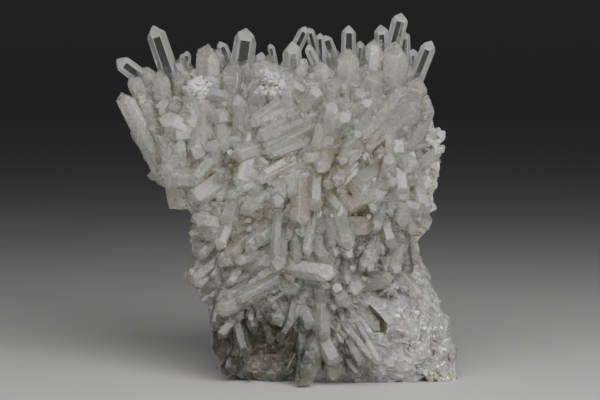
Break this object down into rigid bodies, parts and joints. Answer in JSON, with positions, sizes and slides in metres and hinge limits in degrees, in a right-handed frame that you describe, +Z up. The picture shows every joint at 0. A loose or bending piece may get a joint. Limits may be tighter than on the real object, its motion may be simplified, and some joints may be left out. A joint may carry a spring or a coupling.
{
  "type": "quartz crystal cluster",
  "caption": "Cluster of milky and clear six-sided quartz crystals on massive white quartz, standing on a flat cut.",
  "frame": {"origin": "middle of the stone's box, on the flat cut that it stands on", "axes": "+Z up, the crystal face looks along -Y, +X to the right seen from the front"},
  "size_m": [0.1699, 0.0788, 0.1829],
  "materials": {
    "quartz": "natural"
  },
  "bodies": {
    "root": {"quartz_cluster": "quartz"}
  },
  "joints": []
}
